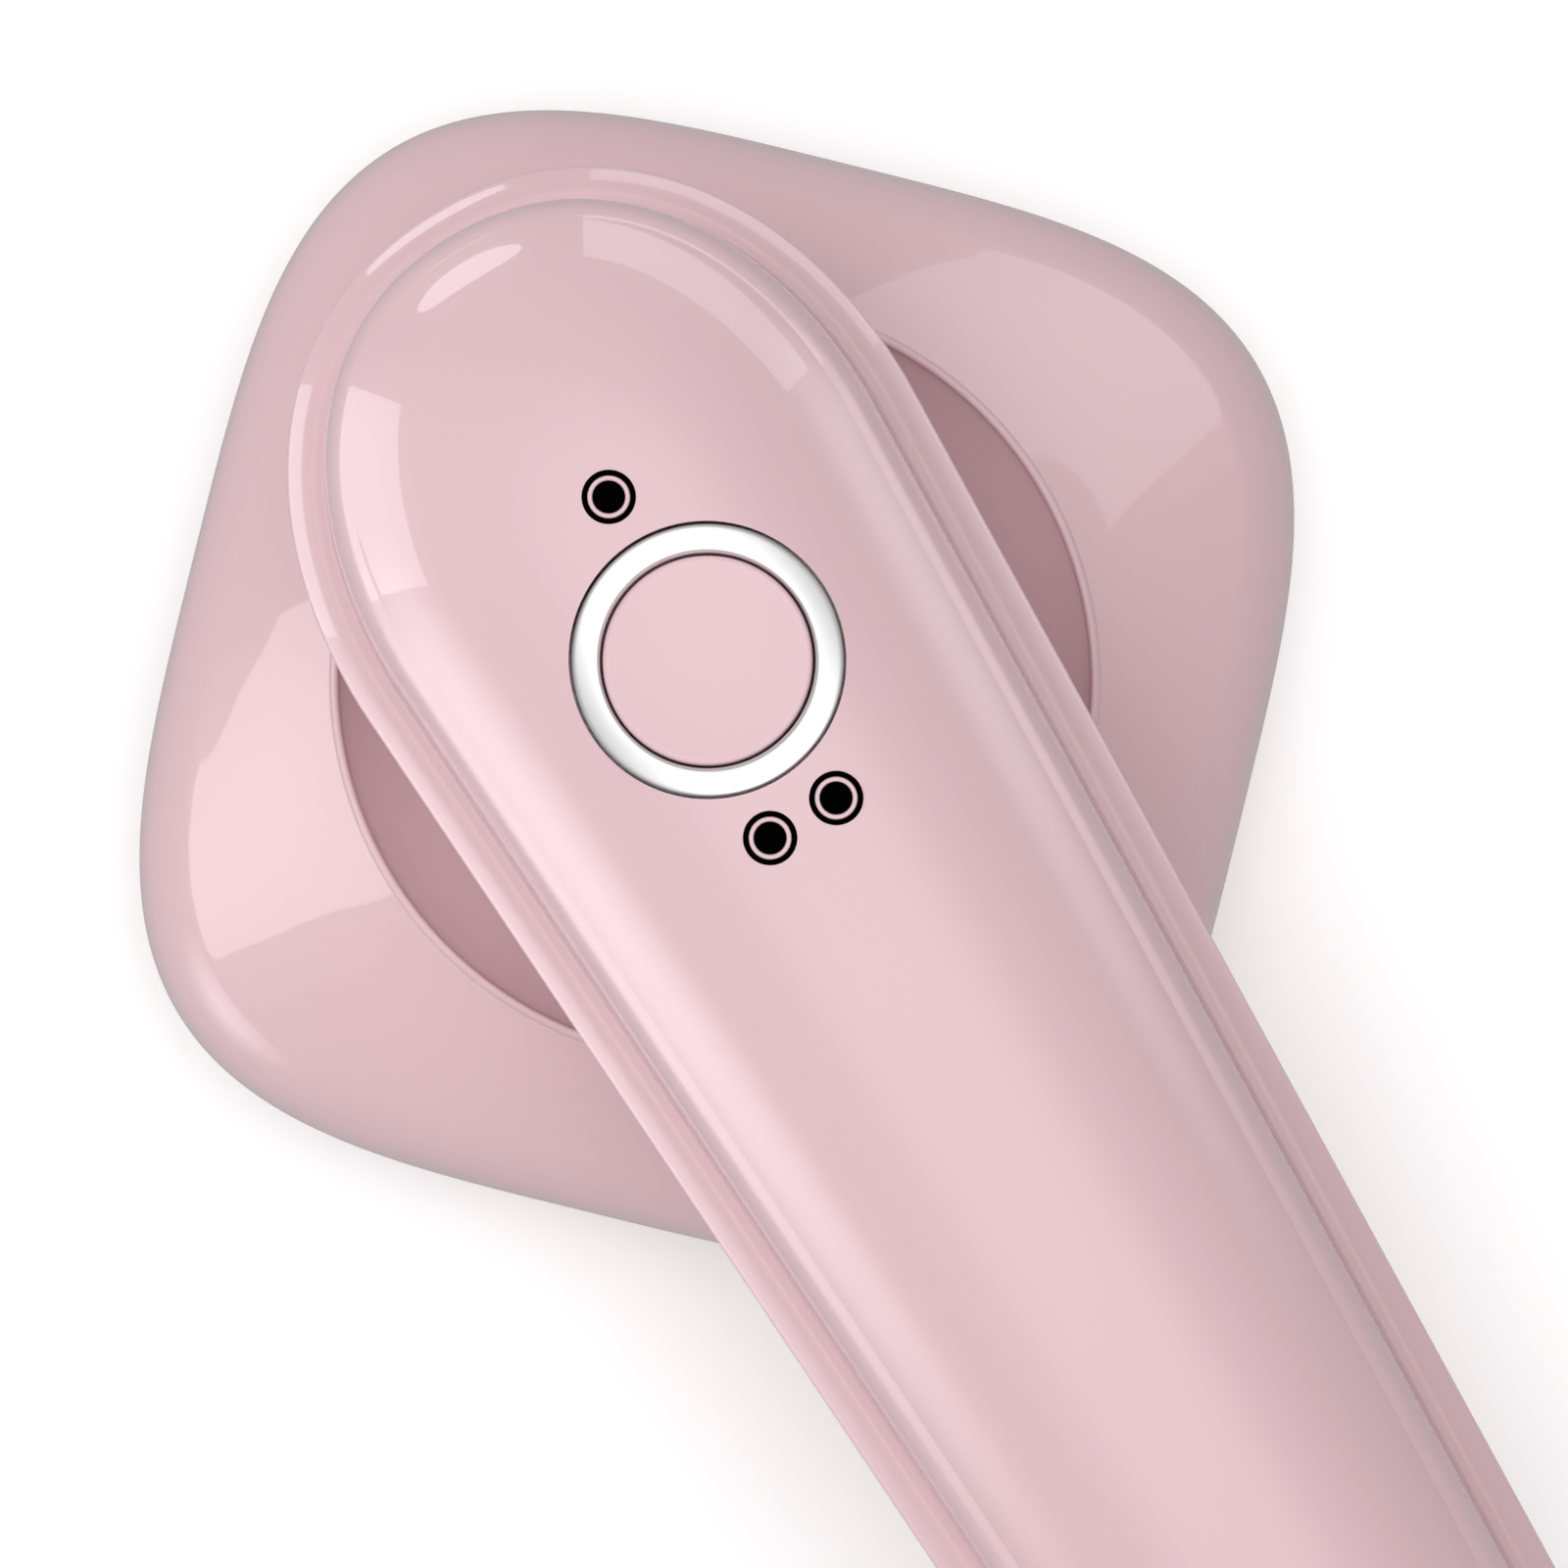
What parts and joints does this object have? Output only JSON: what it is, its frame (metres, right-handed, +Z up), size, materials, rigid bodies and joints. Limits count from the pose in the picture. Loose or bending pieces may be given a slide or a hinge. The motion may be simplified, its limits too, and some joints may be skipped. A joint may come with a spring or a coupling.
{
  "type": "garment steamer",
  "caption": "Hand-held garment steamer with a rounded-square steam head, a paddle handle that swivels on it, a push button in a plated ring and a filler flap underneath.",
  "frame": {"origin": "where the swivel axis meets the soleplate's ironing face", "axes": "+Z up along the swivel axis; +Y towards the front corner of the head, the handle's tail towards -Y; +X to the user's right"},
  "size_m": [0.1166, 0.1973, 0.065],
  "materials": {
    "pink_abs": "glossy moulded ABS, pale dusty pink",
    "plated_ring": "satin-plated ABS",
    "cast_aluminium": "die cast, ironing face polished",
    "steel": "zinc-plated and stainless steel",
    "brass": "turned brass",
    "copper": "enamelled copper wire",
    "white_pa": "natural glass-filled polyamide and acetal",
    "black_plastic": "black engineering plastic",
    "black_gloss": "smoked polycarbonate, polished",
    "black_rubber": "matt moulded rubber",
    "silicone": "red silicone rubber",
    "pink_silicone": "matt pale pink silicone rubber",
    "clear_hose": "translucent silicone hose",
    "clear_plastic": "clear moulded SAN",
    "circuit_board": "solder-masked glass-epoxy",
    "blue_plastic": "moulded relay case",
    "wire_sleeve": "silicone-insulated wire",
    "led_epoxy": "tinted epoxy"
  },
  "bodies": {
    "head": {"soleplate": "cast_aluminium", "heating_element": "steel", "chamber_gasket": "silicone", "chamber_lid": "steel", "lid_screws": "steel", "inlet_nozzle": "brass", "thermostat": "black_plastic", "thermal_fuse": "white_pa", "heater_leads": "wire_sleeve", "heat_shield": "steel", "base_frame": "pink_abs", "plate_screws": "steel", "cover_screws": "steel", "head_cover": "pink_abs", "swivel_hub": "white_pa", "hub_screws": "steel", "hub_circlip": "steel", "friction_washer": "white_pa"},
    "handle": {"spring_washer": "steel", "turntable": "pink_abs", "swivel_bush": "white_pa", "turntable_screws": "steel", "stop_pin": "steel", "handle_lower_shell": "pink_abs", "handle_upper_shell": "pink_abs", "shell_screws": "steel", "tank_body": "clear_plastic", "tank_lid": "clear_plastic", "tank_pickup": "clear_plastic", "suction_hose": "clear_hose", "pump_body": "white_pa", "pump_coil": "copper", "pump_yoke": "steel", "pump_mounts": "black_rubber", "pump_spring": "steel", "delivery_hose": "clear_hose", "swivel_leads": "wire_sleeve", "control_board": "circuit_board", "board_screws": "steel", "relay": "blue_plastic", "capacitors": "black_plastic", "tact_switch": "black_plastic", "indicator_leds": "led_epoxy", "indicator_lenses": "black_gloss", "indicator_sleeves": "pink_abs", "indicator_surrounds": "black_gloss", "button_ring": "plated_ring", "button_spring": "steel", "mains_leads": "wire_sleeve", "terminal_block": "white_pa", "cord_clamp": "white_pa", "clamp_screws": "steel", "cord_gland": "black_rubber", "filler_hinge_pin": "steel"},
    "button": {"power_button": "pink_abs"},
    "plunger": {"pump_plunger": "steel"},
    "cap": {"filler_cap": "pink_silicone"}
  },
  "joints": [
    {"name": "handle_swivel", "type": "hinge", "parent": "head", "child": "handle", "pos_m": [0, 0, 0.0276], "axis": [0, 0, 1], "range_deg": [-90, 90]},
    {"name": "button_press", "type": "slide", "parent": "handle", "child": "button", "axis": [0, 0, -1], "range_m": [0, 0.0008], "stiffness_N_per_m": 900, "springref_m": -0.0006, "deforming": ["button_spring"]},
    {"name": "plunger_stroke", "type": "slide", "parent": "handle", "child": "plunger", "axis": [0, -1, 0], "range_m": [0, 0.002], "stiffness_N_per_m": 150},
    {"name": "filler_flap", "type": "hinge", "parent": "handle", "child": "cap", "pos_m": [0, -0.106, 0.0349], "axis": [-1, 0, 0], "range_deg": [0, 110]}
  ]
}
